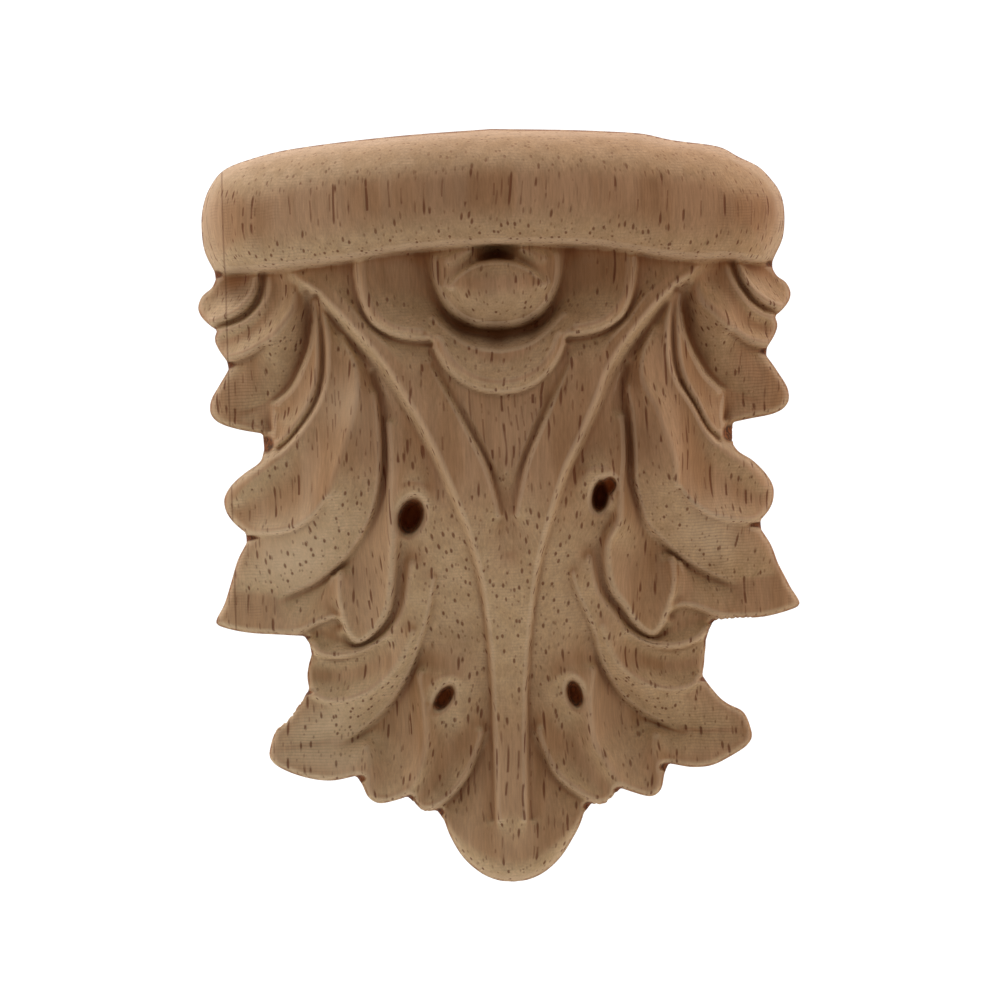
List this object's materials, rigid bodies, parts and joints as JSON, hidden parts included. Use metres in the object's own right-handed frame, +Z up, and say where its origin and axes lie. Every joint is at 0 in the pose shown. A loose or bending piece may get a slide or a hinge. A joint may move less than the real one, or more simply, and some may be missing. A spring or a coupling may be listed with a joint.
{
  "type": "carved wood applique",
  "caption": "Small carved wooden applique in corbel form: bowed top rail, half rosette, forked stem, acanthus leaves and flat back.",
  "frame": {"origin": "middle of the flat back, where the applique is glued on", "axes": "+Z up, +X to the right seen from the front, +Y out of the flat back; the carving faces -Y"},
  "size_m": [0.0594, 0.025, 0.0753],
  "materials": {
    "raw_wood": "unfinished pale hardwood, machine carved and lightly sanded, fine dark pores"
  },
  "bodies": {
    "root": {"carved_applique": "raw_wood"}
  },
  "joints": []
}
